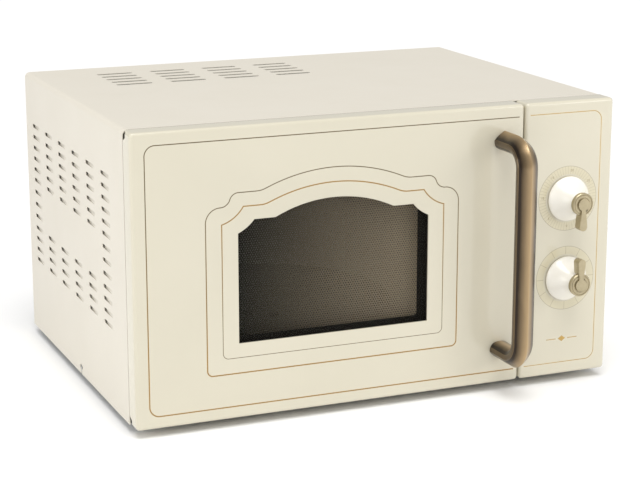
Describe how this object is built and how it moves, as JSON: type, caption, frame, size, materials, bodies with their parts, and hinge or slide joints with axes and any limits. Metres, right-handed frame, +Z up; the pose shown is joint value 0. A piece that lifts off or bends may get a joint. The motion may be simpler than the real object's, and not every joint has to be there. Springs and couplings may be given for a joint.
{
  "type": "microwave oven",
  "caption": "Countertop microwave oven with a side-hinged door, arched window, bow handle, two rotary controls, vented steel cover and glass turntable.",
  "frame": {"origin": "on the worktop, below the middle of the box around the whole oven", "axes": "-Y out of the door, +X towards the control panel, +Z up"},
  "size_m": [0.452, 0.3982, 0.262],
  "materials": {
    "cover_paint": "satin",
    "cream_plastic": "gloss",
    "bronze": "antique bronze, satin",
    "pearl_plastic": "pearl gloss",
    "zinc_steel": "zinc plated",
    "enamel": "gloss",
    "dark_plastic": "satin",
    "clear_glass": "clear",
    "smoked_pane": "smoked, gloss",
    "mica": "mica sheet",
    "white_nylon": "natural nylon",
    "copper": "enamelled copper",
    "brown_board": "phenolic board",
    "black_rubber": "moulded"
  },
  "bodies": {
    "body": {"outer_cover": "cover_paint", "base_plate": "zinc_steel", "back_plate": "zinc_steel", "front_frame": "enamel", "oven_cavity": "enamel", "waveguide_cover": "mica", "waveguide": "zinc_steel", "magnetron_yoke": "zinc_steel", "magnetron_anode": "copper", "transformer_core": "zinc_steel", "transformer_primary_coil": "copper", "transformer_secondary_coil": "brown_board", "capacitor": "zinc_steel", "fan_shroud": "zinc_steel", "fan_motor": "zinc_steel", "filter_board": "brown_board", "lamp_holder": "zinc_steel", "cavity_lamp": "clear_glass", "turntable_motor": "zinc_steel", "latch_bracket": "white_nylon", "primary_switch": "dark_plastic", "secondary_switch": "dark_plastic", "monitor_switch": "dark_plastic", "control_panel": "cream_plastic", "timer_case": "white_nylon", "lower_hinge": "zinc_steel", "upper_hinge": "zinc_steel", "cord_gland": "dark_plastic", "rear_screw_upper_left": "zinc_steel", "rear_screw_upper_right": "zinc_steel", "rear_screw_lower_left": "zinc_steel", "rear_screw_lower_right": "zinc_steel", "foot_front_left": "black_rubber", "foot_rear_left": "black_rubber", "foot_front_right": "black_rubber", "foot_rear_right": "black_rubber"},
    "door": {"door_panel": "cream_plastic", "door_glass": "smoked_pane", "door_frame": "dark_plastic", "door_screen": "dark_plastic", "door_choke_cover": "dark_plastic", "door_inner_pane": "clear_glass", "door_handle": "bronze"},
    "latch": {"latch_bar": "white_nylon"},
    "primary_plunger": {"primary_switch_plunger": "white_nylon"},
    "secondary_plunger": {"secondary_switch_plunger": "white_nylon"},
    "monitor_plunger": {"monitor_switch_plunger": "white_nylon"},
    "timer_control": {"timer_knob": "pearl_plastic", "timer_pointer": "bronze", "timer_shaft": "white_nylon"},
    "power_control": {"power_knob": "pearl_plastic", "power_pointer": "bronze", "power_shaft": "white_nylon"},
    "tray": {"glass_turntable": "clear_glass", "turntable_coupler": "white_nylon"},
    "ring": {"roller_ring": "white_nylon"},
    "wheel_1": {"roller_1": "white_nylon"},
    "wheel_2": {"roller_2": "white_nylon"},
    "wheel_3": {"roller_3": "white_nylon"},
    "fan": {"fan_rotor": "white_nylon"}
  },
  "joints": [
    {"name": "door_hinge", "type": "hinge", "parent": "body", "child": "door", "pos_m": [-0.219, -0.13985, 0.135], "axis": [0, 0, -1], "range_deg": [0, 105]},
    {"name": "latch_lift", "type": "slide", "parent": "door", "child": "latch", "axis": [0, 0, 1], "range_m": [0, 0.004], "stiffness_N_per_m": 200, "springref_m": -0.003},
    {"name": "primary_switch_press", "type": "slide", "parent": "body", "child": "primary_plunger", "axis": [0, 1, 0], "range_m": [0, 0.0015], "stiffness_N_per_m": 400, "springref_m": -0.0005},
    {"name": "secondary_switch_press", "type": "slide", "parent": "body", "child": "secondary_plunger", "axis": [0, 1, 0], "range_m": [0, 0.0015], "stiffness_N_per_m": 400, "springref_m": -0.0005},
    {"name": "monitor_switch_press", "type": "slide", "parent": "body", "child": "monitor_plunger", "axis": [0, 0, -1], "range_m": [0, 0.0015], "stiffness_N_per_m": 400, "springref_m": -0.0005},
    {"name": "timer_turn", "type": "hinge", "parent": "body", "child": "timer_control", "pos_m": [0.1815, -0.15785, 0.1732], "axis": [0, 1, 0], "range_deg": [0, 330]},
    {"name": "power_turn", "type": "hinge", "parent": "body", "child": "power_control", "pos_m": [0.1815, -0.15785, 0.0992], "axis": [0, 1, 0], "range_deg": [-135, 135]},
    {"name": "tray_spin", "type": "hinge", "parent": "body", "child": "tray", "pos_m": [-0.04525, 0.02865, 0.05], "axis": [0, 0, 1], "continuous": true},
    {"name": "ring_spin", "type": "hinge", "parent": "body", "child": "ring", "pos_m": [-0.04525, 0.02865, 0.041], "axis": [0, 0, 1], "continuous": true},
    {"name": "wheel_1_spin", "type": "hinge", "parent": "ring", "child": "wheel_1", "pos_m": [0.04575, 0.02865, 0.041], "axis": [1, 0, 0], "continuous": true},
    {"name": "wheel_2_spin", "type": "hinge", "parent": "ring", "child": "wheel_2", "pos_m": [-0.09075, 0.10746, 0.041], "axis": [-0.5, 0.866, 0], "continuous": true},
    {"name": "wheel_3_spin", "type": "hinge", "parent": "ring", "child": "wheel_3", "pos_m": [-0.09075, -0.05016, 0.041], "axis": [-0.5, -0.866, 0], "continuous": true},
    {"name": "fan_spin", "type": "hinge", "parent": "body", "child": "fan", "pos_m": [0.16687, 0.17215, 0.141], "axis": [0, 1, 0], "continuous": true}
  ],
  "couplings": [
    {"joint": "ring_spin", "follows": "tray_spin", "ratio": 0.5},
    {"joint": "wheel_1_spin", "follows": "tray_spin", "ratio": -6.5},
    {"joint": "wheel_2_spin", "follows": "tray_spin", "ratio": -6.5},
    {"joint": "wheel_3_spin", "follows": "tray_spin", "ratio": -6.5}
  ]
}
